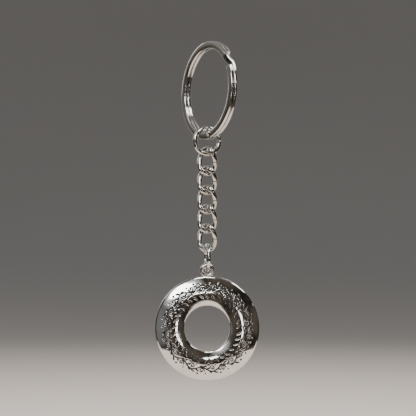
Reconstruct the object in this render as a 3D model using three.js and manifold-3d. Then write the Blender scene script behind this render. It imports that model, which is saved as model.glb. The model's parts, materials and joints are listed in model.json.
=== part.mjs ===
// A key ring with a short curb chain and a domed ring-shaped pendant.
//
// Units are millimetres and +Z is up. The part hangs from a pin through its split ring, and the
// origin is where that pin touches: the highest point of the split ring's inner surface. +X is to
// the right, the pendant's front face looks along -Y, and every piece below hangs straight down.
//
// From the top: split ring, open jump ring, five twisted curb links, small jump ring, pendant.

import * as THREE from 'three';
import { mergeVertices } from 'three/addons/utils/BufferGeometryUtils.js';
import Module from 'manifold-3d';

// Split ring: one flat spring wire wound twice, with a crank where it steps to the second layer.
const SPLIT_OUTER_RADIUS = 15;
const SPLIT_WIRE_RADIAL = 2.2;
const SPLIT_WIRE_AXIAL = 1.2;
const SPLIT_WIRE_CHAMFER = 0.3;
const SPLIT_LAYER_GAP = 0.05;
const SPLIT_FRONT_END_DEG = 28;
const SPLIT_CRANK_BACK_DEG = 31;
const SPLIT_CRANK_FRONT_DEG = 46;
const SPLIT_BACK_END_DEG = 49;
const SPLIT_TURN_DEG = 59.2;
const SPLIT_LEAN_DEG = 2.7;
const SPLIT_STEPS = 175;

// Top jump ring: round wire, closed by hand, so its two ends stand slightly apart.
const JUMP_OUTER_RADIUS = 4.625;
const JUMP_WIRE = 1.4;
const JUMP_TURN_DEG = 19;
const JUMP_GAP = 0.28;
const JUMP_GAP_DEG = 3;
const JUMP_END_OFFSET = 0.24;
const JUMP_HANG = 1.66;

// Curb links: round wire bent to an oval, then twisted a quarter turn from top to bottom.
const LINK_COUNT = 5;
const LINK_WIRE = 1.52;
const LINK_OUTER_LENGTH = 9.03;
const LINK_OUTER_WIDTH = 6.35;
const LINK_ROUNDNESS = 2.6;
const LINK_TWIST_DEG = 90;
const LINK_TURN_DEG = -10;
const LINK_SEAM = 0.05;

// Lower jump ring: round wire, standing nearly edge-on to the pendant's face.
const LOWER_OUTER_RADIUS = 4.365;
const LOWER_WIRE = 1.3;
const LOWER_TURN_DEG = -82;
const LOWER_SEAM = 0.05;
const LOWER_SEAM_DEG = 200;

// Pendant: a cast ring with a domed section, thickest on a ridge circle, and an eye on its rim.
// From the ridge the surface drops away as a power of the distance, then rounds over at each edge.
const PENDANT_RADIUS = 16;
const PENDANT_HOLE_RADIUS = 6.93;
const PENDANT_RIDGE_RADIUS = 10.25;
const PENDANT_RIDGE_HALF = 2.1;
const PENDANT_OUTER_SLOPE = { drop: 1.55, power: 1.55, rounding: 0.55 };
const PENDANT_INNER_SLOPE = { drop: 0.67, power: 1.43, rounding: 0.45 };
const PENDANT_SEGMENTS = 52;
const EYE_SEGMENTS = 26;
const EYE_OUTER_RADIUS = 2.275;
const EYE_HOLE_RADIUS = 1;
const EYE_HALF_THICKNESS = 0.85;
const EYE_TO_PENDANT = 17.61;

// Wires lie this far apart where one piece hangs on the next.
const HANG_GAP = 0.12;
const WIRE_STEPS = 36;
const WIRE_SIDES = 10;

const rad = THREE.MathUtils.degToRad;

const wasm = await Module();
wasm.setup();

function metal(color, roughness) {
  return new THREE.MeshStandardMaterial({ color, roughness, metalness: 1 });
}

// A wire of the given section swept along an open path, with flat ends.
function sweep(section, path, steps) {
  return new THREE.ExtrudeGeometry(section, {
    steps,
    curveSegments: WIRE_SIDES / 2,
    bevelEnabled: false,
    extrudePath: path,
  });
}

function roundSection(diameter) {
  return new THREE.Shape().absarc(0, 0, diameter / 2, 0, 2 * Math.PI);
}

// The flat wire's section, with x along the ring's axis and y along its radius.
function flatSection() {
  const x = SPLIT_WIRE_AXIAL / 2;
  const y = SPLIT_WIRE_RADIAL / 2;
  const c = SPLIT_WIRE_CHAMFER;
  return new THREE.Shape([
    new THREE.Vector2(x, c - y),
    new THREE.Vector2(x, y - c),
    new THREE.Vector2(x - c, y),
    new THREE.Vector2(c - x, y),
    new THREE.Vector2(-x, y - c),
    new THREE.Vector2(-x, c - y),
    new THREE.Vector2(c - x, -y),
    new THREE.Vector2(x - c, -y),
  ]);
}

// Two turns about local Z, front layer first. Angles run from +X towards +Y, and the wire goes
// round the other way, so its angle falls from the front end to the back end.
class SplitRingPath extends THREE.Curve {
  getPoint(t, target = new THREE.Vector3()) {
    const last = SPLIT_BACK_END_DEG - 720;
    const degrees = THREE.MathUtils.lerp(SPLIT_FRONT_END_DEG, last, t);
    const intoCrank = THREE.MathUtils.smoothstep(
      -degrees,
      360 - SPLIT_CRANK_FRONT_DEG,
      360 - SPLIT_CRANK_BACK_DEG,
    );
    const layer = (SPLIT_WIRE_AXIAL + SPLIT_LAYER_GAP) / 2;
    const radius = SPLIT_OUTER_RADIUS - SPLIT_WIRE_RADIAL / 2;
    const angle = rad(degrees);
    const z = layer * (1 - 2 * intoCrank);
    return target.set(radius * Math.cos(angle), radius * Math.sin(angle), z);
  }
}

// One turn about local Z, left open by `gap` at `gapDegrees`, with the ends `offset` apart along Z.
class RoundRingPath extends THREE.Curve {
  constructor(radius, gap, gapDegrees, offset) {
    super();
    this.radius = radius;
    this.halfGap = gap / 2 / radius;
    this.start = rad(gapDegrees);
    this.offset = offset;
  }

  getPoint(t, target = new THREE.Vector3()) {
    const sweepAngle = 2 * (Math.PI - this.halfGap);
    const angle = this.start + this.halfGap + t * sweepAngle;
    const x = this.radius * Math.cos(angle);
    const y = this.radius * Math.sin(angle);
    return target.set(x, y, this.offset * (0.5 - t));
  }
}

// A superellipse standing along Z with its top at the origin, twisted evenly about Z. Its butt
// seam is on the +X strand, at half height.
class CurbLinkPath extends THREE.Curve {
  getPoint(t, target = new THREE.Vector3()) {
    const halfLength = (LINK_OUTER_LENGTH - LINK_WIRE) / 2;
    const halfWidth = (LINK_OUTER_WIDTH - LINK_WIRE) / 2;
    const seamAngle = LINK_SEAM / 2 / halfLength;
    const angle = THREE.MathUtils.lerp(seamAngle, 2 * Math.PI - seamAngle, t);
    const across = halfWidth * rounded(Math.cos(angle));
    const along = halfLength * rounded(Math.sin(angle));
    const twist = (-rad(LINK_TWIST_DEG) / 2) * (along / halfLength);
    const x = across * Math.cos(twist);
    const y = across * Math.sin(twist);
    return target.set(x, y, along - halfLength);
  }
}

function rounded(value) {
  return Math.sign(value) * Math.abs(value) ** (2 / LINK_ROUNDNESS);
}

// Half of the pendant's thickness at a radius.
function pendantHalfHeight(radius) {
  const outside = radius > PENDANT_RIDGE_RADIUS;
  const edge = outside ? PENDANT_RADIUS : PENDANT_HOLE_RADIUS;
  const { drop, power, rounding } = outside ? PENDANT_OUTER_SLOPE : PENDANT_INNER_SLOPE;
  const run = (radius - PENDANT_RIDGE_RADIUS) / (edge - PENDANT_RIDGE_RADIUS);
  const intoRounding = Math.max(0, 1 - Math.abs(edge - radius) / rounding);
  const edgeFall = rounding * (1 - Math.sqrt(1 - intoRounding ** 2));
  return PENDANT_RIDGE_HALF - drop * run ** power - edgeFall;
}

// The section's outline. It comes to a point at the rim and has a short flat wall at the hole.
function pendantProfile() {
  const outerRun = [0, 0.012, 0.04, 0.096, 0.3, 0.55, 0.8];
  const innerRun = [0, 0.3, 0.6, 0.865, 0.945, 0.985, 1];
  const outerSpan = PENDANT_RADIUS - PENDANT_RIDGE_RADIUS;
  const innerSpan = PENDANT_RIDGE_RADIUS - PENDANT_HOLE_RADIUS;
  const radii = [
    ...outerRun.map((run) => PENDANT_RADIUS - run * outerSpan),
    ...innerRun.map((run) => PENDANT_RIDGE_RADIUS - run * innerSpan),
  ];
  const front = radii.map((radius) => new THREE.Vector2(radius, pendantHalfHeight(radius)));
  front[0].y = 0;
  const back = front.slice(1).map((point) => new THREE.Vector2(point.x, -point.y));
  return [...front, ...back.reverse(), front[0].clone()];
}

// The eye is a turned ring too, with an oval section.
function eyeProfile() {
  const sides = 12;
  const middle = (EYE_OUTER_RADIUS + EYE_HOLE_RADIUS) / 2;
  const half = (EYE_OUTER_RADIUS - EYE_HOLE_RADIUS) / 2;
  const points = [];
  for (let i = 0; i <= sides; i += 1) {
    const angle = ((i % sides) / sides) * 2 * Math.PI;
    const radius = middle + half * Math.cos(angle);
    points.push(new THREE.Vector2(radius, EYE_HALF_THICKNESS * Math.sin(angle)));
  }
  return points;
}

function toSolid(geometry) {
  const bare = geometry.clone();
  bare.deleteAttribute('normal');
  bare.deleteAttribute('uv');
  const merged = mergeVertices(bare, 1e-4);
  return new wasm.Manifold(new wasm.Mesh({
    numProp: 3,
    vertProperties: new Float32Array(merged.attributes.position.array),
    triVerts: new Uint32Array(merged.index.array),
  }));
}

function toGeometry(solid) {
  const mesh = solid.getMesh();
  const geometry = new THREE.BufferGeometry();
  geometry.setAttribute('position', new THREE.BufferAttribute(mesh.vertProperties, 3));
  geometry.setIndex(new THREE.BufferAttribute(mesh.triVerts, 1));
  geometry.computeVertexNormals();
  return geometry;
}

// Disc and eye are cast in one piece. The origin is the eye's centre, and the disc hangs below.
function pendantGeometry() {
  const disc = new THREE.LatheGeometry(pendantProfile(), PENDANT_SEGMENTS);
  disc.translate(0, 0, -EYE_TO_PENDANT);
  const eye = new THREE.LatheGeometry(eyeProfile(), EYE_SEGMENTS);
  return toGeometry(toSolid(disc).add(toSolid(eye)));
}

function named(name, geometry, material) {
  const mesh = new THREE.Mesh(geometry, material);
  mesh.name = name;
  return mesh;
}

// Stands a ring made about local Z upright, facing -Y, and turns it about the vertical.
function upright(mesh, turnDegrees, position) {
  const holder = new THREE.Group();
  mesh.rotation.x = Math.PI / 2;
  holder.rotation.z = rad(turnDegrees);
  holder.position.copy(position);
  holder.add(mesh);
  return holder;
}

const keyRing = new THREE.Group();

// The split ring is turned and then leaned, so its highest point is a little off its own +Y.
const lean = new THREE.Quaternion().setFromAxisAngle(new THREE.Vector3(0, 1, 0), rad(SPLIT_LEAN_DEG));
const across = new THREE.Vector3(Math.cos(rad(SPLIT_TURN_DEG)), -Math.sin(rad(SPLIT_TURN_DEG)), 0);
across.applyQuaternion(lean);
const up = new THREE.Vector3(0, 0, 1).applyQuaternion(lean);
const highest = up.clone().multiplyScalar(up.z).addScaledVector(across, across.z).normalize();
const innerRadius = SPLIT_OUTER_RADIUS - SPLIT_WIRE_RADIAL;
const splitCentre = highest.clone().multiplyScalar(-innerRadius);

const splitRing = upright(
  named('split_ring', sweep(flatSection(), new SplitRingPath(), SPLIT_STEPS), metal(0xd8d3cc, 0.14)),
  -SPLIT_TURN_DEG,
  new THREE.Vector3(),
);
const leaned = new THREE.Group();
leaned.quaternion.copy(lean);
leaned.position.copy(splitCentre);
leaned.add(splitRing);
keyRing.add(leaned);

// The jump ring swings about the middle of the split ring's section, at its lowest point.
const middleRadius = innerRadius + SPLIT_WIRE_RADIAL / 2;
const hook = splitCentre.clone().addScaledVector(highest, -middleRadius);
const jumpCentre = hook.clone().setZ(hook.z - JUMP_HANG);
const jumpMiddle = JUMP_OUTER_RADIUS - JUMP_WIRE / 2;
const jumpPath = new RoundRingPath(jumpMiddle, JUMP_GAP, JUMP_GAP_DEG, JUMP_END_OFFSET);
keyRing.add(upright(
  named('top_jump_ring', sweep(roundSection(JUMP_WIRE), jumpPath, WIRE_STEPS), metal(0xd6d1ca, 0.16)),
  JUMP_TURN_DEG,
  jumpCentre,
));

// Each wire rests on the one above it, so a piece's top centre is that far above the wire below.
const linkTop = jumpCentre.clone();
linkTop.z += HANG_GAP + (JUMP_WIRE + LINK_WIRE) / 2 - jumpMiddle;
const linkPitch = LINK_OUTER_LENGTH - 2 * LINK_WIRE - HANG_GAP;
for (let i = 0; i < LINK_COUNT; i += 1) {
  const link = named(
    `chain_link_${i + 1}`,
    sweep(roundSection(LINK_WIRE), new CurbLinkPath(), WIRE_STEPS),
    metal(0xd4cfc8, 0.15),
  );
  link.rotation.z = rad(LINK_TURN_DEG);
  link.position.set(linkTop.x, linkTop.y, linkTop.z - i * linkPitch);
  keyRing.add(link);
}

const lowerMiddle = LOWER_OUTER_RADIUS - LOWER_WIRE / 2;
const lastLinkBottom = linkTop.z - (LINK_COUNT - 1) * linkPitch - (LINK_OUTER_LENGTH - LINK_WIRE);
const lowerCentre = linkTop.clone();
lowerCentre.z = lastLinkBottom + (LINK_WIRE + LOWER_WIRE) / 2 + HANG_GAP - lowerMiddle;
const lowerPath = new RoundRingPath(lowerMiddle, LOWER_SEAM, LOWER_SEAM_DEG, 0);
keyRing.add(upright(
  named('lower_jump_ring', sweep(roundSection(LOWER_WIRE), lowerPath, WIRE_STEPS), metal(0xd6d1ca, 0.16)),
  LOWER_TURN_DEG,
  lowerCentre,
));

const pendant = named('pendant', pendantGeometry(), metal(0xcfc8c0, 0.1));
const lowerWireTop = lowerCentre.z - lowerMiddle + LOWER_WIRE / 2;
pendant.position.set(lowerCentre.x, lowerCentre.y, lowerWireTop + HANG_GAP - EYE_HOLE_RADIUS);
keyRing.add(pendant);

export default keyRing;
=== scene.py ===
"""A key ring with a curb chain and an engraved ring pendant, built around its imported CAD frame.

Every length is in metres, and MM turns millimetres into them. The hinges of the frame sit on the
middles of the wires, so they place the pieces.
"""

import json
import math
import random

import bpy
import numpy as np
from mathutils import Matrix, Vector


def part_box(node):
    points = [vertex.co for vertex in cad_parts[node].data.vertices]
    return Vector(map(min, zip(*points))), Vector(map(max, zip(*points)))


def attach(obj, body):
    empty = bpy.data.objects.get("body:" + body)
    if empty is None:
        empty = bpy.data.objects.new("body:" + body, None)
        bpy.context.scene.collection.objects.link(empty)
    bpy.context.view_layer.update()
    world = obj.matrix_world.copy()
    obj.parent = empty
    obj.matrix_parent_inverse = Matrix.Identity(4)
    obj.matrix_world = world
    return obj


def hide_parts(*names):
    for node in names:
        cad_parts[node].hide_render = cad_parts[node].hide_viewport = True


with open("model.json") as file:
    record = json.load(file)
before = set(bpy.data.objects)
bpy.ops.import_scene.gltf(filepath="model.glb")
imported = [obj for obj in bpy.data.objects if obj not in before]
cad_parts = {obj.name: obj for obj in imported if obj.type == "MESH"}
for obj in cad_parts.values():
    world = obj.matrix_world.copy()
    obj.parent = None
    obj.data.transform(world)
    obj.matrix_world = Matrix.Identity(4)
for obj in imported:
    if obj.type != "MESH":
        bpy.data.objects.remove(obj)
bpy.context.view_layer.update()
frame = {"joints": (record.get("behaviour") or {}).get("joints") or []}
MM = 0.001

HINGE = {j["name"]: Vector(j["pos_m"]) for j in frame["joints"]}
HOOK = HINGE["top_jump_ring_swing"]
JUMP_BOTTOM = HINGE["chain_link_1_swing"]
LINK_3_TOP = HINGE["chain_link_3_swing"]
LINK_3_BOTTOM = HINGE["chain_link_4_swing"]
LINK_5_TOP = HINGE["chain_link_5_swing"]
LOWER_BOTTOM = HINGE["pendant_swing"]
LINK_PITCH = (LINK_3_TOP.z - LINK_5_TOP.z) / 2
LINK_LENGTH = LINK_3_TOP.z - LINK_3_BOTTOM.z
LINK_COUNT = 5
MIDDLE_LINK = 3

# Wire sections. The split ring's is a rounded rectangle.
SPLIT_RADIAL = 2.2 * MM
SPLIT_AXIAL = 1.2 * MM
SPLIT_SQUARENESS = 2.9
SPLIT_LAYER_PITCH = 1.25 * MM
JUMP_WIRE = 1.4 * MM
LINK_WIRE = 1.52 * MM
LOWER_WIRE = 1.3 * MM

# Sizes to the middle of the wire.
SPLIT_RADIUS = (HOOK.length - SPLIT_RADIAL / 2) / 2 + SPLIT_RADIAL / 2
JUMP_RADIUS = 3.925 * MM
LINK_HALF_WIDTH = 2.415 * MM
LOWER_RADIUS = 3.715 * MM

# The split ring's turn about the vertical and its lean, and its crank and its two ends in degrees.
SPLIT_TURN = math.radians(-59.2)
SPLIT_LEAN = math.radians(2.7)
SPLIT_FRONT_END = 28
SPLIT_CRANK_BACK = 31
SPLIT_CRANK_FRONT = 46
SPLIT_BACK_END = 49
TWO_TURNS = 720

# The jump rings' turns and seams, and the links' turn, twist and fullness. The fullness is
# greatest at a link's middle. Where it ends and over what it fades are shares of the half length.
JUMP_TURN = math.radians(19)
JUMP_GAP = 0.28 * MM
JUMP_GAP_ANGLE = math.radians(3)
JUMP_END_OFFSET = 0.24 * MM
LOWER_TURN = math.radians(-82)
LOWER_SEAM_ANGLE = math.radians(200)
BUTT_SEAM = 0.05 * MM
LINK_TURN = math.radians(-10)
LINK_TWIST = math.radians(90)
LINK_SQUARENESS = 2.6
LINK_FULLNESS = 0.09 * MM
FULLNESS_END = 0.67
FULLNESS_FADE = 0.5

# Cut ends and edges of the wires.
SPLIT_BEVEL = 0.12 * MM
JUMP_BEVEL = 0.1 * MM
LOWER_BEVEL = 0.03 * MM
LINK_BEVEL = 0.025 * MM
BEVEL_STEPS = 4
WIRE_CREASE = math.radians(50)

# Unevenness of the wires: how much they thin at most, and the waves along a whole wire that make
# it, each with its number and its share.
SPLIT_WAVER = 0.012
ROUND_WAVER = 0.02
WAVES = ((3, 0.5), (8, 0.3), (13, 0.2))
SPLIT_SEED = 11
JUMP_SEED = 21
LOWER_SEED = 22
LINK_SEED = 30

# Points along a wire.
SPLIT_POINTS = 1000
WIRE_POINTS = 240
OUTLINE_POINTS = 6000

# Pendant's disc. Each slope is its drop, its power, and the rounding where it ends.
DISC_RADIUS = 16 * MM
HOLE_RADIUS = 6.93 * MM
RIDGE_RADIUS = 10.25 * MM
RIDGE_HALF = 2.1 * MM
OUTER_SLOPE = (1.55 * MM, 1.55, 0.55 * MM)
INNER_SLOPE = (0.67 * MM, 1.43, 0.45 * MM)
DISC_SIDES = 280
FINE_FACTOR = 4
CORNER_ROWS = 8
SHOULDER_ROWS = 6
BAND_ROWS = 70
BACK_ROWS = 26
PENDANT_LOW, PENDANT_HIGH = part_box("pendant")
DISC_CENTRE = Vector(
    ((PENDANT_LOW.x + PENDANT_HIGH.x) / 2, LOWER_BOTTOM.y, PENDANT_LOW.z + DISC_RADIUS)
)

# The eye on the disc's rim, and the foot that flares from it down into the rim.
EYE_OUTER = 2.275 * MM
EYE_HOLE = 1.0 * MM
EYE_HALF_THICKNESS = 0.85 * MM
EYE_SQUARENESS = 2.3
EYE_SIDES = 72
EYE_SECTION_SIDES = 28
EYE_TO_DISC = 17.61 * MM
EYE_CENTRE = DISC_CENTRE + Vector((0, 0, EYE_TO_DISC))
FOOT_START = 1.5 * MM
FOOT_LENGTH = 1.3 * MM
FOOT_HALF_WIDTH = 0.62 * MM
FOOT_FLARE = 0.95 * MM
FOOT_FLARE_POWER = 2.2
FOOT_HALF_DEPTH = 0.66 * MM
FOOT_THINNING = 0.1 * MM
FOOT_SQUARENESS = 2.6
FOOT_ROWS = 10
FOOT_SIDES = 36
CASTING_CREASE = math.radians(40)
CREASES_ABOVE = DISC_RADIUS - 1.4 * MM
CREASES_WITHIN = 2.6 * MM

# Engraving: a band of vine scroll, and slanted strokes inside it. A stroke's width is given by
# its half, and a pair of sizes is the range that it is drawn from.
ENGRAVING_DEPTH = 0.15 * MM
ENGRAVING_SEED = 5
BAND_OUTER = 14.55 * MM
BAND_INNER = 8.85 * MM
VINE_RADIUS = 12.5 * MM
VINE_WAVE = 0.6 * MM
VINE_UNITS = 12
STEM_HALF = 0.26 * MM
STEM_STEPS = 30
CURL_SIZE = (0.78 * MM, 0.9 * MM)
CURL_INWARD = 0.42 * MM
CURL_TURN = 2.2 * math.pi
CURL_CLOSING = 0.8
CURL_HALF = 0.22 * MM
CURL_THINNING = 0.04 * MM
CURL_TIP_HALF = 0.28 * MM
CURL_STEPS = 16
# Each leaf: its place along the vine from the crest and its lean in radians, and its length.
LEAVES = ((-0.085, 0.9, 1.2 * MM), (0.02, 0.8, 1.4 * MM), (0.12, 0.6, 1.1 * MM))
LEAF_HALF = 0.33 * MM
LEAF_ROOT = 0.12 * MM
LEAF_BEND = (0.3, 0.9)
LEAF_STRAY = 0.012
LEAF_LEAN_STRAY = 0.15
LEAF_LENGTH_STRAY = (0.9, 1.1)
LEAF_STEPS = 7
# Each dot: the range of its distance from the vine, its place along the vine, and its half width.
DOTS = (((1.2 * MM, 1.35 * MM), 0.09, 0.3 * MM), ((1.4 * MM, 1.6 * MM), -0.09, 0.4 * MM))
STROKE_COUNT = 33
STROKE_STRAY = 0.15
STROKE_START = (8.95 * MM, 9.3 * MM)
STROKE_STOP = (10.15 * MM, 10.7 * MM)
STROKE_HALF = (0.22 * MM, 0.3 * MM)
STROKE_SLANT = 0.11
STROKE_CURVE = 1.3
STROKE_STEPS = 6
TIP_SHARE = 0.05
TAPER_POWER = 0.7
SECTORS = 60
SECTOR_OVERLAP = 0.05
NO_LENGTH = 1e-14

# Plating. Scales are in features to the metre. Levels are the values where an effect starts and
# where it is full, and a share is how strong it is when full.
SMUDGE_SCALE = 260.0
SMUDGE_LEVELS = (0.35, 0.75)
SMUDGE_ROUGHNESS = 0.07
STAIN_LEVELS = (0.42, 0.8)
STAIN_SHARE = 0.7
STAIN_DARKENING = 0.86
STAIN_WARMTH = (1.0, 0.97, 0.93)
GRAIN_SCALE = 2600.0
GRAIN_ROUGHNESS = 0.02
GRAIN_SHARE = 0.05
GRAIN_HEIGHT = 0.01 * MM
PEEL_SCALE = 380.0
PEEL_HEIGHT = 0.05 * MM
SCRATCH_DIRECTIONS = 5
SCRATCH_WIDTH = 0.07 * MM
SCRATCH_LENGTH = 2.6 * MM
SCRATCH_LEVELS = (0.71, 0.77)
SCRATCH_TILT = 0.5
SCRATCH_ROUGHNESS = 0.12
SCRATCH_SHARE = 0.15
SCRATCH_DEPTH = 0.006 * MM
# Pointiness is half on a flat surface, more on an edge and less in a hollow.
HOLLOW_SHADE_LEVELS = (0.47, 0.4)
# Painted shade: concave spots are darkened towards a dark brown, standing in for the shade that gathers in
# them.
HOLLOW_SHADE_SHARE = 0.45
HOLLOW_SHADE_COLOUR = (0.16, 0.14, 0.12, 1)
# Painted highlight: edges are lightened towards near white, standing in for the light they catch; they are
# also made a little rougher.
EDGE_LEVELS = (0.52, 0.6)
EDGE_HIGHLIGHT_SHARE = 0.4
EDGE_HIGHLIGHT_COLOUR = (0.9, 0.89, 0.87, 1)
WORN_ROUGHNESS = 0.05
GRIME_LEVELS = (0.08, 0.32)
GRIME_PATCH_LEVELS = (0.2, 0.45)
GRIME_PATCH_SHARES = (0.8, 1.0)
GRIME_COLOUR = (0.012, 0.011, 0.010, 1)
GRIME_ROUGHNESS = 0.5
GRIME_METALLIC = 0.35

# Each metal: its tint, its roughness, its seed, how wavy it is, and how rubbed.
SPLIT_METAL = ((0.74, 0.72, 0.69), 0.08, 1, 0.1, 0.35)
JUMP_METAL = ((0.73, 0.71, 0.68), 0.08, 2, 0.12, 0.5)
CHAIN_METAL = ((0.61, 0.585, 0.55), 0.08, 3, 0.12, 0.5)
PENDANT_METAL = ((0.76, 0.73, 0.70), 0.04, 4, 0.2, 0.7)

# Backdrop: a flat middle that shows in the metal, and a round floor with a cove and a low wall.
# Rows are the shares or radii at which its rings of points lie.
FLOOR_Z = PENDANT_LOW.z - 60 * MM
SHEET_HALF_WIDTH = 230 * MM
SHEET_FRONT = 158 * MM
SHEET_BACK = 110 * MM
FLOOR_FLAT = 0.75
COVE = 0.3
WALL_TOP = 0.42
SHEET_ROWS = (0.001, 0.25, 0.5, 0.75, 1)
FLOOR_ROWS = (0.8 * FLOOR_FLAT, 0.9 * FLOOR_FLAT, FLOOR_FLAT)
COVE_ROWS = 14
BACKDROP_SIDES = 96
TOOTH_SCALE = 900.0
TOOTH_SHARE = 0.15
TOOTH_HEIGHT = 0.1 * MM
CLOUD_SCALE = 3.0
CLOUD_LEVELS = (0.3, 0.7)
PAPER_PALE = (0.84, 0.745, 0.675, 1)
PAPER_CLOUDED = (0.81, 0.72, 0.655, 1)
# Painted shade: the grey that the paper fades to away from the pendant.
PAPER_PAINTED_SHADE = (0.17, 0.165, 0.16, 1)
PAPER_ROUGHNESS = 0.95
# Painted pool of light: the distances from the pendant over which the paper fades from pale to that painted
# grey.
PAINTED_LIGHT_REACH = (0.28, 0.95)

# Lamps: azimuth and elevation from the pendant in degrees, distance, half angles across and up,
# radiance and colour.
WHITE = (1, 1, 1)
LAMPS = {
    "window_left": (-25, 27, 0.8, (10, 7.5), 9.5, (0.97, 0.985, 1.0)),
    "ridge_glint": (-2.3, 13.5, 0.9, (4.5, 1.8), 8, (0.93, 0.97, 1.0)),
    "strip_right": (16, -2, 0.55, (1.7, 7), 8, WHITE),
    "front_high": (-6, 54, 0.75, (9, 8), 11, WHITE),
    "side_high": (83, 50, 0.8, (8, 9), 10, (0.96, 0.985, 1.0)),
    "side_glint": (63, 20, 0.8, (1.6, 1.6), 5, (0.85, 0.94, 1.0)),
    "top_panel": (0, 84, 0.65, (20, 15), 6.8, (1.0, 0.98, 0.95)),
    "side_left": (-80, 40, 0.8, (7, 9), 1.6, WHITE),
    "back_left": (-150, 20, 0.9, (7, 10), 2.5, WHITE),
    "back_right": (155, 35, 0.9, (8, 7), 2.5, WHITE),
}

# The room that the metal reflects: two colours of noise, and glows. Each glow is its azimuth and
# elevation, the cosines of the angles from there at which it starts and is full, and its colour.
ROOM_SCALE = 3.2
ROOM_LEVELS = (0.35, 0.68)
ROOM_DARK = (0.010, 0.009, 0.008, 1)
ROOM_LIGHT = (0.10, 0.085, 0.068, 1)
GLOWS = (
    (180, 4, 0.62, 0.86, (0.44, 0.425, 0.41, 1)),
    (-25, 27, 0.93, 0.985, (0.75, 0.77, 0.80, 1)),
    (-112, 38, 0.80, 0.97, (0.30, 0.30, 0.295, 1)),
    (-45, -2, 0.93, 0.99, (0.19, 0.20, 0.21, 1)),
    (60, 85, 0.6, 1.0, (0.20, 0.19, 0.175, 1)),
)
SKY_COLOUR = (0.80, 0.79, 0.78, 1)
SKY_STRENGTH = 0.55

# Camera: level, and placed from the disc's centre.
FRAME_HEIGHT = 127.1 * MM
LENS = 120
SENSOR = 36
CAMERA_RIGHT = 0.23 * MM
CAMERA_RISE = 36.66 * MM
CLIP = (0.01, 20)


# ---------------------------------------------------------------- mesh making


def new_object(name, verts, faces):
    mesh = bpy.data.meshes.new(name)
    mesh.from_pydata(np.asarray(verts).tolist(), [], faces)
    face_outward(mesh)
    mesh.shade_smooth()
    obj = bpy.data.objects.new(name, mesh)
    bpy.context.scene.collection.objects.link(obj)
    return obj


def face_outward(mesh):
    """Turns the faces over if the volume that they enclose comes out negative."""
    mesh.calc_loop_triangles()
    co = np.empty(len(mesh.vertices) * 3)
    mesh.vertices.foreach_get("co", co)
    tris = np.empty(len(mesh.loop_triangles) * 3, np.int32)
    mesh.loop_triangles.foreach_get("vertices", tris)
    a, b, c = co.reshape(-1, 3)[tris.reshape(-1, 3)].transpose(1, 0, 2)
    if np.einsum("ij,ij->i", a, np.cross(b, c)).sum() < 0:
        mesh.flip_normals()


def loft(name, rows, closed=False):
    """Skins loops of points. A closed loft joins its last loop to its first, an open one is capped."""
    count, sides = len(rows), len(rows[0])
    faces = []
    for i in range(count if closed else count - 1):
        faces += quads(i * sides, (i + 1) % count * sides, sides)
    if not closed:
        last = (count - 1) * sides
        faces += [tuple(range(sides))[::-1], tuple(range(last, last + sides))]
    return new_object(name, np.concatenate(rows), faces)


def quads(a, b, count):
    """Faces between two loops of count points, which start at the points a and b."""
    return [(a + j, a + (j + 1) % count, b + (j + 1) % count, b + j) for j in range(count)]


def unit(rows):
    return rows / np.linalg.norm(rows, axis=-1, keepdims=True)


def eased(u):
    """A smooth step from 0 to 1, level at both ends."""
    u = np.clip(u, 0, 1)
    return u * u * (3 - 2 * u)


def evenly_spaced(points, count):
    """The same path, with its points at equal distances."""
    steps = np.linalg.norm(np.diff(points, axis=0), axis=1)
    travelled = np.concatenate([[0], np.cumsum(steps)])
    wanted = np.linspace(0, travelled[-1], count)
    return np.stack([np.interp(wanted, travelled, points[:, k]) for k in range(3)], 1)


def carried_frames(points):
    """Two normals at each point of a path, turning as little as they can along it."""
    along = unit(np.gradient(points, axis=0))
    normal = np.eye(3)[np.argmin(np.abs(along[0]))]
    normals = []
    for t in along:
        normal = unit(normal - t * normal.dot(t))
        normals.append(normal)
    normals = np.array(normals)
    return normals, np.cross(along, normals)


def round_section(diameter, sides=32):
    angle = np.arange(sides) * 2 * np.pi / sides
    return np.stack([np.cos(angle), np.sin(angle)], 1) * diameter / 2


def pillow_section(width, height, power, sides=40):
    """A rounded rectangle: a superellipse, squarer as power grows."""
    angle = (np.arange(sides) + 0.5) * 2 * np.pi / sides
    c, s = np.cos(angle), np.sin(angle)
    reach = (np.abs(c) ** power + np.abs(s) ** power) ** (-1 / power)
    return np.stack([c * reach * width / 2, s * reach * height / 2], 1)


def wire(name, points, frames, section, bevel, waver, seed, swell=1.0):
    """A wire along points with bevelled cut ends.

    Its section is scaled by swell, and then thinned unevenly by up to about waver along its length.
    """
    normals, binormals = frames
    along = unit(np.gradient(points, axis=0))
    draw = random.Random(seed)
    turn = np.linspace(0, 2 * np.pi, len(points))
    ripple = sum(share * np.sin(waves * turn + draw.uniform(0, 2 * np.pi)) for waves, share in WAVES)
    scale = swell * (1 - waver * (1 + ripple) / 2)
    half = np.abs(section).max()

    def loop(i, beyond, shrink):
        flat = section * (shrink * scale[i])
        return points[i] + beyond * along[i] + flat[:, :1] * normals[i] + flat[:, 1:] * binormals[i]

    def end_loop(i, outward, k):
        return loop(i, outward * bevel * math.cos(k), 1 - bevel / half * (1 - math.sin(k)))

    arc = np.linspace(0, np.pi / 2, BEVEL_STEPS)
    starts = [end_loop(0, -1, k) for k in arc]
    middle = [loop(i, 0, 1) for i in range(1, len(points) - 1)]
    ends = [end_loop(-1, 1, k) for k in arc[::-1]]
    obj = loft(name, starts + middle + ends)
    obj.data.set_sharp_from_angle(angle=WIRE_CREASE)
    return obj


def upright(turn, centre):
    """Stands a ring made about local Z upright, facing -Y, and turns it about the vertical."""
    return Matrix.Translation(centre) @ Matrix.Rotation(turn, 4, "Z") @ Matrix.Rotation(math.pi / 2, 4, "X")


def placed(points, matrix):
    m = np.array(matrix)
    return points @ m[:3, :3].T + m[:3, 3]


# ---------------------------------------------------------------- rings and chain


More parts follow.
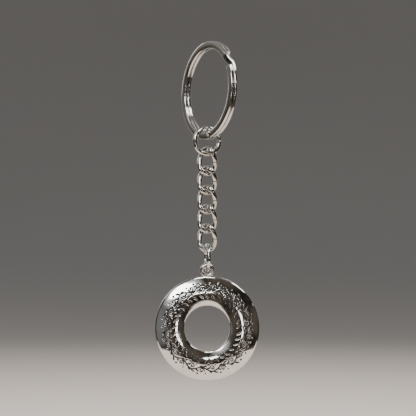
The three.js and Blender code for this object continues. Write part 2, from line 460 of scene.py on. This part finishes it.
def make_split_ring():
    """One flat wire wound twice. It steps from the front layer to the back one at the crank."""
    degrees = np.linspace(SPLIT_FRONT_END, SPLIT_BACK_END - TWO_TURNS, SPLIT_POINTS)
    crank = (-degrees - (TWO_TURNS / 2 - SPLIT_CRANK_FRONT)) / (SPLIT_CRANK_FRONT - SPLIT_CRANK_BACK)
    angle = np.radians(degrees)
    depth = SPLIT_LAYER_PITCH / 2 * (1 - 2 * eased(crank))
    flat = np.stack([SPLIT_RADIUS * np.cos(angle), SPLIT_RADIUS * np.sin(angle), depth], 1)
    lean = Matrix.Rotation(SPLIT_LEAN, 4, "Y")
    inner = SPLIT_RADIUS - SPLIT_RADIAL / 2
    centre = HOOK * (inner / HOOK.length)
    stand = Matrix.Translation(centre) @ lean @ upright(SPLIT_TURN, Vector())
    points = placed(flat, stand)
    axis = np.array(stand.to_3x3() @ Vector((0, 0, 1)))
    along = unit(np.gradient(points, axis=0))
    axial = unit(axis - along * (along @ axis)[:, None])
    frames = axial, np.cross(along, axial)
    section = pillow_section(SPLIT_AXIAL, SPLIT_RADIAL, SPLIT_SQUARENESS)
    return wire("split_ring_wire", points, frames, section, SPLIT_BEVEL, SPLIT_WAVER, SPLIT_SEED)


def ring_points(radius, gap, gap_angle, offset):
    """Most of a circle. Its two ends are a gap apart, and offset from each other along the axis."""
    half = gap / 2 / radius
    t = np.linspace(0, 1, WIRE_POINTS)
    angle = gap_angle + half + t * 2 * (math.pi - half)
    return np.stack([radius * np.cos(angle), radius * np.sin(angle), offset * (0.5 - t)], 1)


def make_top_jump_ring():
    centre = JUMP_BOTTOM + Vector((0, 0, JUMP_RADIUS))
    flat = ring_points(JUMP_RADIUS, JUMP_GAP + 2 * JUMP_BEVEL, JUMP_GAP_ANGLE, JUMP_END_OFFSET)
    points = placed(flat, upright(JUMP_TURN, centre))
    frames = carried_frames(points)
    section = round_section(JUMP_WIRE)
    return wire("top_jump_ring_wire", points, frames, section, JUMP_BEVEL, ROUND_WAVER, JUMP_SEED)


def make_lower_jump_ring():
    centre = LOWER_BOTTOM + Vector((0, 0, LOWER_RADIUS))
    flat = ring_points(LOWER_RADIUS, BUTT_SEAM + 2 * LOWER_BEVEL, LOWER_SEAM_ANGLE, 0)
    points = placed(flat, upright(LOWER_TURN, centre))
    frames = carried_frames(points)
    section = round_section(LOWER_WIRE)
    return wire("lower_jump_ring_wire", points, frames, section, LOWER_BEVEL, ROUND_WAVER, LOWER_SEED)


def superpower(value):
    """A sine or cosine made into that of a superellipse."""
    return np.sign(value) * np.abs(value) ** (2 / LINK_SQUARENESS)


def make_link(number):
    """A superellipse, twisted a quarter turn from its top to its bottom, butted on one side.

    The wire is fuller on the inside of the two long sides, where the bending has pressed it.
    """
    half_length = LINK_LENGTH / 2
    seam = (BUTT_SEAM / 4 + LINK_BEVEL) / half_length
    angle = np.linspace(seam, 2 * np.pi - seam, OUTLINE_POINTS)
    across = LINK_HALF_WIDTH * superpower(np.cos(angle))
    height = half_length * superpower(np.sin(angle))
    twist = LINK_TURN - LINK_TWIST / 2 * height / half_length
    flat = np.stack([across * np.cos(twist), across * np.sin(twist), height - half_length], 1)
    points = evenly_spaced(flat, WIRE_POINTS)
    from_middle = np.abs(points[:, 2] / half_length + 1)
    fuller = LINK_FULLNESS * eased((FULLNESS_END - from_middle) / FULLNESS_FADE)
    reach = np.linalg.norm(points[:, :2], axis=1)
    points[:, :2] *= (1 - fuller / np.maximum(reach, LINK_WIRE / 2))[:, None]
    points += np.array(LINK_3_TOP + Vector((0, 0, (MIDDLE_LINK - number) * LINK_PITCH)))
    frames = carried_frames(points)
    section = round_section(LINK_WIRE)
    swell = 1 + fuller / (LINK_WIRE / 2)
    name = f"chain_link_{number}_wire"
    return wire(name, points, frames, section, LINK_BEVEL, ROUND_WAVER, LINK_SEED + number, swell)


# ---------------------------------------------------------------- pendant


def half_height(radius):
    """Half of the disc's thickness at a radius, before engraving."""
    outside = radius > RIDGE_RADIUS
    edge = DISC_RADIUS if outside else HOLE_RADIUS
    drop, power, rounding = OUTER_SLOPE if outside else INNER_SLOPE
    run = (radius - RIDGE_RADIUS) / (edge - RIDGE_RADIUS)
    into = max(0, 1 - abs(edge - radius) / rounding)
    return RIDGE_HALF - drop * run**power - rounding * (1 - math.sqrt(1 - min(1, into) ** 2))


def polar(radius, angle):
    return radius * math.cos(angle), radius * math.sin(angle)


def tapered(points, half):
    """A stroke that is widest in its middle and comes to a point at each end."""
    last = len(points) - 1
    shares = [max(TIP_SHARE, math.sin(math.pi * i / last)) ** TAPER_POWER for i in range(last + 1)]
    return [(x, z, half * share) for (x, z), share in zip(points, shares)]


def leaf(x, z, heading, length, half, bend):
    points = []
    for _ in range(LEAF_STEPS + 1):
        points.append((x, z))
        heading += bend / LEAF_STEPS
        x += math.cos(heading) * length / LEAF_STEPS
        z += math.sin(heading) * length / LEAF_STEPS
    return tapered(points, half)


def tendril(radius, angle, spin, size):
    """A curl of a little over one turn, winding in towards a round tip."""
    cx, cz = polar(radius, angle)
    points = []
    for i in range(CURL_STEPS + 1):
        u = i / CURL_STEPS
        x, z = polar(size * (1 - CURL_CLOSING * u), angle + math.pi / 2 * spin + spin * u * CURL_TURN)
        points.append((cx + x, cz + z, CURL_HALF - CURL_THINNING * u))
    return points + [(*points[-1][:2], CURL_TIP_HALF)] * 2


def dot(radius, angle, half):
    return [(*polar(radius, angle), half)] * 2


def vine_radius(angle):
    return VINE_RADIUS + VINE_WAVE * math.sin(VINE_UNITS * angle)


def vine_strokes():
    """The engraving as strokes: lists of (x, z, half width) in the disc's plane."""
    draw = random.Random(ENGRAVING_SEED)
    steps = VINE_UNITS * STEM_STEPS
    angles = [2 * math.pi * i / steps for i in range(steps + 1)]
    strokes = [[(*polar(vine_radius(a), a), STEM_HALF) for a in angles]]
    for i in range(2 * VINE_UNITS):
        side = 1 if i % 2 == 0 else -1
        crest = (i + 0.5) * math.pi / VINE_UNITS
        curl = draw.uniform(*CURL_SIZE)
        strokes.append(tendril(VINE_RADIUS - side * CURL_INWARD, crest, -side, curl))
        for shift, lean, length in LEAVES:
            a = crest + shift + draw.uniform(-LEAF_STRAY, LEAF_STRAY)
            x, z = polar(vine_radius(a) + side * LEAF_ROOT, a)
            stray = draw.uniform(-LEAF_LEAN_STRAY, LEAF_LEAN_STRAY)
            heading = a + math.pi / 2 - side * (lean + stray)
            length *= draw.uniform(*LEAF_LENGTH_STRAY)
            strokes.append(leaf(x, z, heading, length, LEAF_HALF, side * draw.uniform(*LEAF_BEND)))
        for away, shift, half in DOTS:
            strokes.append(dot(VINE_RADIUS - side * draw.uniform(*away), crest + shift, half))
    for i in range(STROKE_COUNT):
        a = 2 * math.pi * (i + draw.uniform(-STROKE_STRAY, STROKE_STRAY)) / STROKE_COUNT
        start, stop = draw.uniform(*STROKE_START), draw.uniform(*STROKE_STOP)
        shares = [k / STROKE_STEPS for k in range(STROKE_STEPS + 1)]
        points = [polar(start + (stop - start) * u, a + STROKE_SLANT * u**STROKE_CURVE) for u in shares]
        strokes.append(tapered(points, draw.uniform(*STROKE_HALF)))
    return strokes


def engraved(x, z, strokes):
    """How deep the engraving is at each point of the disc's plane, from 0 to 1.

    It works through the disc sector by sector, with the strokes in and near each. NO_LENGTH
    stands in for the squared length of a dot.
    """
    starts = np.array([p for s in strokes for p in s[:-1]])
    stops = np.array([p for s in strokes for p in s[1:]])
    middle = (starts + stops) / 2
    stroke_angle = np.arctan2(middle[:, 1], middle[:, 0])
    point_angle = np.arctan2(z, x)
    depth = np.zeros(len(x))
    width = 2 * np.pi / SECTORS
    for k in range(SECTORS):
        mid = -np.pi + (k + 0.5) * width
        mine = np.flatnonzero(np.abs(point_angle - mid) <= width / 2)
        apart = np.abs((stroke_angle - mid + np.pi) % (2 * np.pi) - np.pi)
        near = apart < width / 2 + SECTOR_OVERLAP
        a, b = starts[near], stops[near]
        p = np.stack([x[mine], z[mine]], 1)[:, None]
        ab = b[:, :2] - a[:, :2]
        t = ((p - a[:, :2]) * ab).sum(2) / np.maximum((ab * ab).sum(1), NO_LENGTH)
        t = np.clip(t, 0, 1)
        away = np.linalg.norm(p - a[:, :2] - t[..., None] * ab, axis=2)
        half = a[:, 2] + t * (b[:, 2] - a[:, 2])
        depth[mine] = np.max(np.clip(1 - away / half, 0, 1), axis=1, initial=0)
    return eased(depth)


def disc_rows():
    """The disc's section as (radius, height, fine) rows, from the front of the rim round to its back.

    The engraved band has the fine rows, which hold more points than the others.
    """
    arc = np.sin(np.linspace(0, np.pi / 2, CORNER_ROWS))
    rim = [DISC_RADIUS - OUTER_SLOPE[2] * (1 - u) for u in arc[::-1]]
    hole = [HOLE_RADIUS + INNER_SLOPE[2] * (1 - u) for u in arc]
    shoulder = list(np.linspace(rim[-1], BAND_OUTER, SHOULDER_ROWS)[1:-1])
    band = list(np.linspace(BAND_OUTER, BAND_INNER, BAND_ROWS))
    inner = list(np.linspace(BAND_INNER, hole[0], SHOULDER_ROWS)[1:-1])
    plain = list(np.linspace(rim[-1], hole[0], BACK_ROWS)[1:-1])
    front = [(r, half_height(r), False) for r in rim + shoulder]
    front += [(r, half_height(r), True) for r in band]
    front += [(r, half_height(r), False) for r in inner + hole]
    back = [(r, -half_height(r), False) for r in rim[1:] + plain + hole]
    return front + back[::-1]


def make_disc(strokes):
    rows = disc_rows()
    verts, starts, counts = [], [], []
    for radius, height, fine in rows:
        count = DISC_SIDES * FINE_FACTOR if fine else DISC_SIDES
        angle = np.arange(count) * 2 * np.pi / count
        x, z = radius * np.cos(angle), radius * np.sin(angle)
        y = np.full(count, -height)
        if fine:
            y += ENGRAVING_DEPTH * engraved(x, z, strokes)
        starts.append(sum(counts))
        counts.append(count)
        verts.append(np.stack([x, y, z], 1))
    faces = []
    for i in range(len(rows)):
        n = (i + 1) % len(rows)
        faces += strip(starts[i], counts[i], starts[n], counts[n])
    return new_object("pendant_casting", np.concatenate(verts) + np.array(DISC_CENTRE), faces)


def strip(a, a_count, b, b_count):
    """Faces between two loops with the same number of points, or with four times as many in one."""
    if a_count == b_count:
        return quads(a, b, a_count)
    flip = a_count > b_count
    few, few_count, many, many_count = (b, b_count, a, a_count) if flip else (a, a_count, b, b_count)
    faces = []
    for j in range(few_count):
        p, q = few + j, few + (j + 1) % few_count
        f = [many + (FINE_FACTOR * j + k) % many_count for k in range(FINE_FACTOR + 1)]
        fan = [(p, f[1], f[0]), (p, f[2], f[1]), (p, q, f[2]), (q, f[3], f[2]), (q, f[4], f[3])]
        faces += [face[::-1] for face in fan] if flip else fan
    return faces


def make_eye():
    """A small ring with an oval section, in the disc's plane."""
    middle, half = (EYE_OUTER + EYE_HOLE) / 2, (EYE_OUTER - EYE_HOLE) / 2
    section = pillow_section(2 * half, 2 * EYE_HALF_THICKNESS, EYE_SQUARENESS, EYE_SECTION_SIDES)
    rows = []
    for a in np.arange(EYE_SIDES) * 2 * np.pi / EYE_SIDES:
        reach = middle + section[:, 0]
        rows.append(np.stack([reach * math.cos(a), section[:, 1], reach * math.sin(a)], 1))
    return loft("eye", [row + np.array(EYE_CENTRE) for row in rows], closed=True)


def make_foot():
    """The flared neck that joins the eye to the rim."""
    rows = []
    for u in np.linspace(0, 1, FOOT_ROWS):
        wide = FOOT_HALF_WIDTH + FOOT_FLARE * u**FOOT_FLARE_POWER
        deep = FOOT_HALF_DEPTH - FOOT_THINNING * u
        loop = pillow_section(2 * wide, 2 * deep, FOOT_SQUARENESS, FOOT_SIDES)
        height = np.full(len(loop), -(FOOT_START + FOOT_LENGTH * u))
        rows.append(np.stack([loop[:, 0], loop[:, 1], height], 1))
    return loft("foot", [row + np.array(EYE_CENTRE) for row in rows])


def joined(base, *others):
    """Unites closed solids into base, and removes the others."""
    for other in others:
        union = base.modifiers.new("join", "BOOLEAN")
        union.operation = "UNION"
        union.solver = "MANIFOLD"
        union.object = other
    bpy.context.view_layer.update()
    evaluated = base.evaluated_get(bpy.context.evaluated_depsgraph_get())
    mesh = bpy.data.meshes.new_from_object(evaluated)
    base.modifiers.clear()
    base.data = mesh
    for other in others:
        bpy.data.objects.remove(other)
    return base


def keep_creases_by_the_eye(mesh, x, z):
    """Creases the sharp edges round the eye. The engraving's edges stay smooth."""
    mesh.set_sharp_from_angle(angle=CASTING_CREASE)
    ends = np.empty(len(mesh.edges) * 2, np.int32)
    mesh.edges.foreach_get("vertices", ends)
    sharp = np.empty(len(mesh.edges), bool)
    flags = mesh.attributes["sharp_edge"].data
    flags.foreach_get("value", sharp)
    near_eye = (z > CREASES_ABOVE) & (np.abs(x) < CREASES_WITHIN)
    sharp &= near_eye[ends.reshape(-1, 2)].all(1)
    flags.foreach_set("value", sharp)


def make_pendant():
    """The casting. Its points carry the engraving's depth for the material."""
    strokes = vine_strokes()
    obj = joined(make_disc(strokes), make_eye(), make_foot())
    mesh = obj.data
    mesh.shade_smooth()
    co = np.empty(len(mesh.vertices) * 3)
    mesh.vertices.foreach_get("co", co)
    x, y, z = (co.reshape(-1, 3) - np.array(DISC_CENTRE)).T
    reach = np.hypot(x, z)
    inked = np.zeros(len(x))
    band = (y < 0) & (reach > BAND_INNER) & (reach < BAND_OUTER)
    inked[band] = engraved(x[band], z[band], strokes)
    mesh.attributes.new("engraved", "FLOAT", "POINT").data.foreach_set("value", inked)
    keep_creases_by_the_eye(mesh, x, z)
    return obj


# ---------------------------------------------------------------- materials


class Nodes:
    """Short calls for building a node tree."""

    def __init__(self, owner):
        owner.use_nodes = True
        self.tree = owner.node_tree
        self.tree.nodes.clear()

    def add(self, kind, inputs=None, **settings):
        node = self.tree.nodes.new(kind)
        for key, value in settings.items():
            setattr(node, key, value)
        for key, value in (inputs or {}).items():
            if isinstance(value, bpy.types.NodeSocket):
                self.tree.links.new(value, node.inputs[key])
            else:
                node.inputs[key].default_value = value
        return node

    def noise(self, where, scale, detail=2.0, rough=0.5):
        inputs = {"Vector": where, "Scale": scale, "Detail": detail, "Roughness": rough}
        return self.add("ShaderNodeTexNoise", inputs).outputs["Fac"]

    def remap(self, value, low, high, to_low=0.0, to_high=1.0):
        inputs = {"Value": value, "From Min": low, "From Max": high, "To Min": to_low, "To Max": to_high}
        node = self.add("ShaderNodeMapRange", inputs, interpolation_type="SMOOTHSTEP")
        return node.outputs["Result"]

    def towards(self, where, azimuth, elevation, low, high):
        """From 0 to 1 as the direction nears an aim. The limits are cosines of the angle between."""
        inputs = {0: where, 1: aimed(azimuth, elevation)}
        near = self.add("ShaderNodeVectorMath", inputs, operation="DOT_PRODUCT").outputs["Value"]
        return self.remap(near, low, high)

    def math(self, operation, a, b):
        return self.add("ShaderNodeMath", {0: a, 1: b}, operation=operation).outputs[0]

    def mix(self, factor, a, b):
        node = self.add("ShaderNodeMix", {"Factor": factor, "A": a, "B": b}, data_type="RGBA")
        return node.outputs["Result"]

    def mix_value(self, factor, a, b):
        node = self.add("ShaderNodeMix", {0: factor, 2: a, 3: b}, data_type="FLOAT")
        return node.outputs[0]

    def stretched(self, where, angles, scale):
        """Turns the space, then squeezes it so that a feature of size 1 has the given sizes."""
        inputs = {"Vector": where, "Rotation": angles, "Scale": scale}
        return self.add("ShaderNodeMapping", inputs, vector_type="TEXTURE").outputs["Vector"]

    def bump(self, height, strength, distance, normal=None):
        inputs = {"Height": height, "Strength": strength, "Distance": distance}
        if normal is not None:
            inputs["Normal"] = normal
        return self.add("ShaderNodeBump", inputs).outputs["Normal"]

    def surface(self, **inputs):
        """The material's shader and output. An input's name has _ for each space."""
        named = {key.replace("_", " "): value for key, value in inputs.items()}
        shader = self.add("ShaderNodeBsdfPrincipled", named)
        self.add("ShaderNodeOutputMaterial", {"Surface": shader.outputs["BSDF"]})


def aimed(azimuth, elevation):
    """The unit vector from the object at an azimuth to the right of the camera and an elevation."""
    a, e = math.radians(azimuth), math.radians(elevation)
    return Vector((math.sin(a) * math.cos(e), -math.cos(a) * math.cos(e), math.sin(e)))


def scratches(n, where, seed):
    """Sparse hairline rubbing marks in several directions, from 0 to 1."""
    draw = random.Random(seed)
    size = (SCRATCH_WIDTH, SCRATCH_LENGTH, SCRATCH_LENGTH)
    total = None
    for _ in range(SCRATCH_DIRECTIONS):
        lean = draw.uniform(-SCRATCH_TILT, SCRATCH_TILT)
        turn = draw.uniform(0, math.pi)
        roll = draw.uniform(-SCRATCH_TILT, SCRATCH_TILT)
        streak = n.noise(n.stretched(where, (lean, turn, roll), size), 1.0, detail=1.0)
        line = n.remap(streak, *SCRATCH_LEVELS)
        total = line if total is None else n.math("MAXIMUM", total, line)
    return total


def plated_metal(name, tint, gloss, seed, wave, rub, engraving=False):
    """Polished plating: slightly uneven, faintly smudged and rubbed, with painted shade in its hollows and
    a painted highlight along its edges, which are also a little rougher.
    """
    material = bpy.data.materials.new(name)
    n = Nodes(material)
    where = n.add("ShaderNodeTexCoord").outputs["Object"]
    smudge = n.noise(where, SMUDGE_SCALE, detail=4.0, rough=0.6)
    fine = n.noise(where, GRAIN_SCALE, detail=3.0)
    lines = scratches(n, where, seed)
    roughness = n.remap(smudge, *SMUDGE_LEVELS, gloss, gloss + SMUDGE_ROUGHNESS)
    roughness = n.math("ADD", roughness, n.math("MULTIPLY", lines, SCRATCH_ROUGHNESS * rub))
    roughness = n.math("ADD", roughness, n.math("MULTIPLY", fine, GRAIN_ROUGHNESS))
    shade = [c * STAIN_DARKENING * k for c, k in zip(tint, STAIN_WARMTH)]
    colour = n.mix(n.remap(smudge, *STAIN_LEVELS, 0.0, STAIN_SHARE), (*tint, 1), (*shade, 1))
    pointed = n.add("ShaderNodeNewGeometry").outputs["Pointiness"]
    edge = n.remap(pointed, *EDGE_LEVELS)
    # Painted shade: the colour darkens in the hollows.
    hollow_shade = n.remap(pointed, *HOLLOW_SHADE_LEVELS)
    colour = n.mix(n.math("MULTIPLY", hollow_shade, HOLLOW_SHADE_SHARE), colour, HOLLOW_SHADE_COLOUR)
    # Painted highlight: the colour lightens along the edges, which also get a little rougher.
    colour = n.mix(n.math("MULTIPLY", edge, EDGE_HIGHLIGHT_SHARE), colour, EDGE_HIGHLIGHT_COLOUR)
    roughness = n.math("ADD", roughness, n.math("MULTIPLY", edge, WORN_ROUGHNESS))
    metallic = 1.0
    if engraving:
        depth = n.add("ShaderNodeAttribute", attribute_name="engraved").outputs["Fac"]
        patchy = n.remap(fine, *GRIME_PATCH_LEVELS, *GRIME_PATCH_SHARES)
        grime = n.math("MULTIPLY", n.remap(depth, *GRIME_LEVELS), patchy)
        colour = n.mix(grime, colour, GRIME_COLOUR)
        roughness = n.mix_value(grime, roughness, GRIME_ROUGHNESS)
        metallic = n.mix_value(grime, 1.0, GRIME_METALLIC)
    peel = n.bump(n.noise(where, PEEL_SCALE), wave, PEEL_HEIGHT)
    grain = n.bump(fine, GRAIN_SHARE, GRAIN_HEIGHT, peel)
    normal = n.bump(lines, SCRATCH_SHARE * rub, SCRATCH_DEPTH, grain)
    n.surface(Base_Color=colour, Roughness=roughness, Metallic=metallic, Normal=normal)
    return material


def backdrop_paper():
    """Matt paper with a faint tooth, and a painted pool of light: pale under the object, fading to painted
    grey shade away from it.
    """
    material = bpy.data.materials.new("backdrop_paper")
    n = Nodes(material)
    where = n.add("ShaderNodeTexCoord").outputs["Object"]
    tooth = n.noise(where, TOOTH_SCALE, detail=3.0)
    cloud = n.noise(where, CLOUD_SCALE)
    inputs = {0: where, 1: DISC_CENTRE}
    away = n.add("ShaderNodeVectorMath", inputs, operation="DISTANCE").outputs["Value"]
    pale = n.mix(n.remap(cloud, *CLOUD_LEVELS), PAPER_PALE, PAPER_CLOUDED)
    # Painted pool of light: pale near the pendant, fading to painted shade away from it.
    colour = n.mix(n.remap(away, *PAINTED_LIGHT_REACH), pale, PAPER_PAINTED_SHADE)
    normal = n.bump(tooth, TOOTH_SHARE, TOOTH_HEIGHT)
    n.surface(Base_Color=colour, Normal=normal, Roughness=PAPER_ROUGHNESS)
    return material


# ---------------------------------------------------------------- studio


def ringed(name, outlines, paper):
    """A surface through ovals. Each is (half width, front depth, back depth, height)."""
    verts = []
    for wide, front, back, z in outlines:
        for a in np.arange(BACKDROP_SIDES) * 2 * np.pi / BACKDROP_SIDES:
            deep = back if math.sin(a) > 0 else front
            verts.append((DISC_CENTRE.x + wide * math.cos(a), DISC_CENTRE.y + deep * math.sin(a), z))
    faces = []
    for i in range(len(outlines) - 1):
        faces += quads(i * BACKDROP_SIDES, (i + 1) * BACKDROP_SIDES, BACKDROP_SIDES)
    mesh = bpy.data.meshes.new(name)
    mesh.from_pydata(verts, [], faces)
    mesh.shade_smooth()
    mesh.materials.append(paper)
    obj = bpy.data.objects.new(name, mesh)
    bpy.context.scene.collection.objects.link(obj)
    return obj


def make_backdrop():
    """A pale floor that curves up into a low wall all round. Only its middle shows in the metal."""
    paper = backdrop_paper()
    sheet = [(SHEET_HALF_WIDTH * k, SHEET_FRONT * k, SHEET_BACK * k, FLOOR_Z) for k in SHEET_ROWS]
    ringed("floor_middle", sheet, paper)
    around = [(r, r, r, FLOOR_Z) for r in FLOOR_ROWS]
    for a in np.linspace(0, np.pi / 2, COVE_ROWS)[1:]:
        r = FLOOR_FLAT + COVE * math.sin(a)
        around.append((r, r, r, FLOOR_Z + COVE * (1 - math.cos(a))))
    r = FLOOR_FLAT + COVE
    around.append((r, r, r, FLOOR_Z + WALL_TOP))
    ringed("floor_and_wall", [sheet[-1]] + around, paper).visible_glossy = False


def softbox(name, azimuth, elevation, distance, spread, radiance, colour):
    """A rectangular lamp facing the pendant. Its spread is its half angles across and up."""
    away = aimed(azimuth, elevation)
    lamp = bpy.data.lights.new(name, "AREA")
    lamp.shape = "RECTANGLE"
    lamp.size, lamp.size_y = (2 * distance * math.tan(math.radians(k)) for k in spread)
    lamp.energy = radiance * math.pi * lamp.size * lamp.size_y
    lamp.color = colour
    obj = bpy.data.objects.new(name, lamp)
    obj.location = DISC_CENTRE + away * distance
    obj.rotation_mode = "QUATERNION"
    obj.rotation_quaternion = away.to_track_quat("Z", "Y")
    obj.visible_camera = False
    bpy.context.scene.collection.objects.link(obj)
    return obj


def make_lamps():
    """The top panel lights the floor, and isn't reflected in the metal."""
    lamps = {name: softbox(name, *settings) for name, settings in LAMPS.items()}
    lamps["top_panel"].visible_glossy = False


def make_world():
    """Pale to the camera and to the floor, and a dim uneven room to whatever shines."""
    world = bpy.data.worlds.new("studio")
    bpy.context.scene.world = world
    n = Nodes(world)
    where = n.add("ShaderNodeTexCoord").outputs["Generated"]
    room = n.noise(where, ROOM_SCALE, detail=3.0)
    colour = n.mix(n.remap(room, *ROOM_LEVELS), ROOM_DARK, ROOM_LIGHT)
    for azimuth, elevation, low, high, glow in GLOWS:
        colour = n.mix(n.towards(where, azimuth, elevation, low, high), colour, glow)
    dim = n.add("ShaderNodeBackground", {"Color": colour, "Strength": 1.0})
    pale = n.add("ShaderNodeBackground", {"Color": SKY_COLOUR, "Strength": SKY_STRENGTH})
    glossy = n.add("ShaderNodeLightPath").outputs["Is Glossy Ray"]
    both = n.add("ShaderNodeMixShader", {0: glossy, 1: pale.outputs[0], 2: dim.outputs[0]})
    n.add("ShaderNodeOutputWorld", {"Surface": both.outputs[0]})


def make_camera():
    """Level, square on to the pendant's face."""
    data = bpy.data.cameras.new("camera")
    data.lens, data.sensor_width = LENS, SENSOR
    data.clip_start, data.clip_end = CLIP
    camera = bpy.data.objects.new("camera", data)
    distance = FRAME_HEIGHT * LENS / SENSOR
    camera.location = DISC_CENTRE + Vector((CAMERA_RIGHT, -distance, CAMERA_RISE))
    camera.rotation_euler = (math.pi / 2, 0, 0)
    bpy.context.scene.collection.objects.link(camera)
    bpy.context.scene.camera = camera


# ---------------------------------------------------------------- assembly


def finish_piece(obj, node, material):
    obj.data.materials.clear()
    obj.data.materials.append(material)
    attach(obj, node)
    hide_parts(node)


split_metal = plated_metal("split_ring_nickel", *SPLIT_METAL)
jump_metal = plated_metal("jump_ring_nickel", *JUMP_METAL)
chain_metal = plated_metal("chain_nickel", *CHAIN_METAL)
pendant_metal = plated_metal("pendant_chrome", *PENDANT_METAL, engraving=True)

finish_piece(make_split_ring(), "split_ring", split_metal)
finish_piece(make_top_jump_ring(), "top_jump_ring", jump_metal)
for number in range(1, LINK_COUNT + 1):
    finish_piece(make_link(number), f"chain_link_{number}", chain_metal)
finish_piece(make_lower_jump_ring(), "lower_jump_ring", jump_metal)
finish_piece(make_pendant(), "pendant", pendant_metal)

make_backdrop()
make_lamps()
make_world()
make_camera()
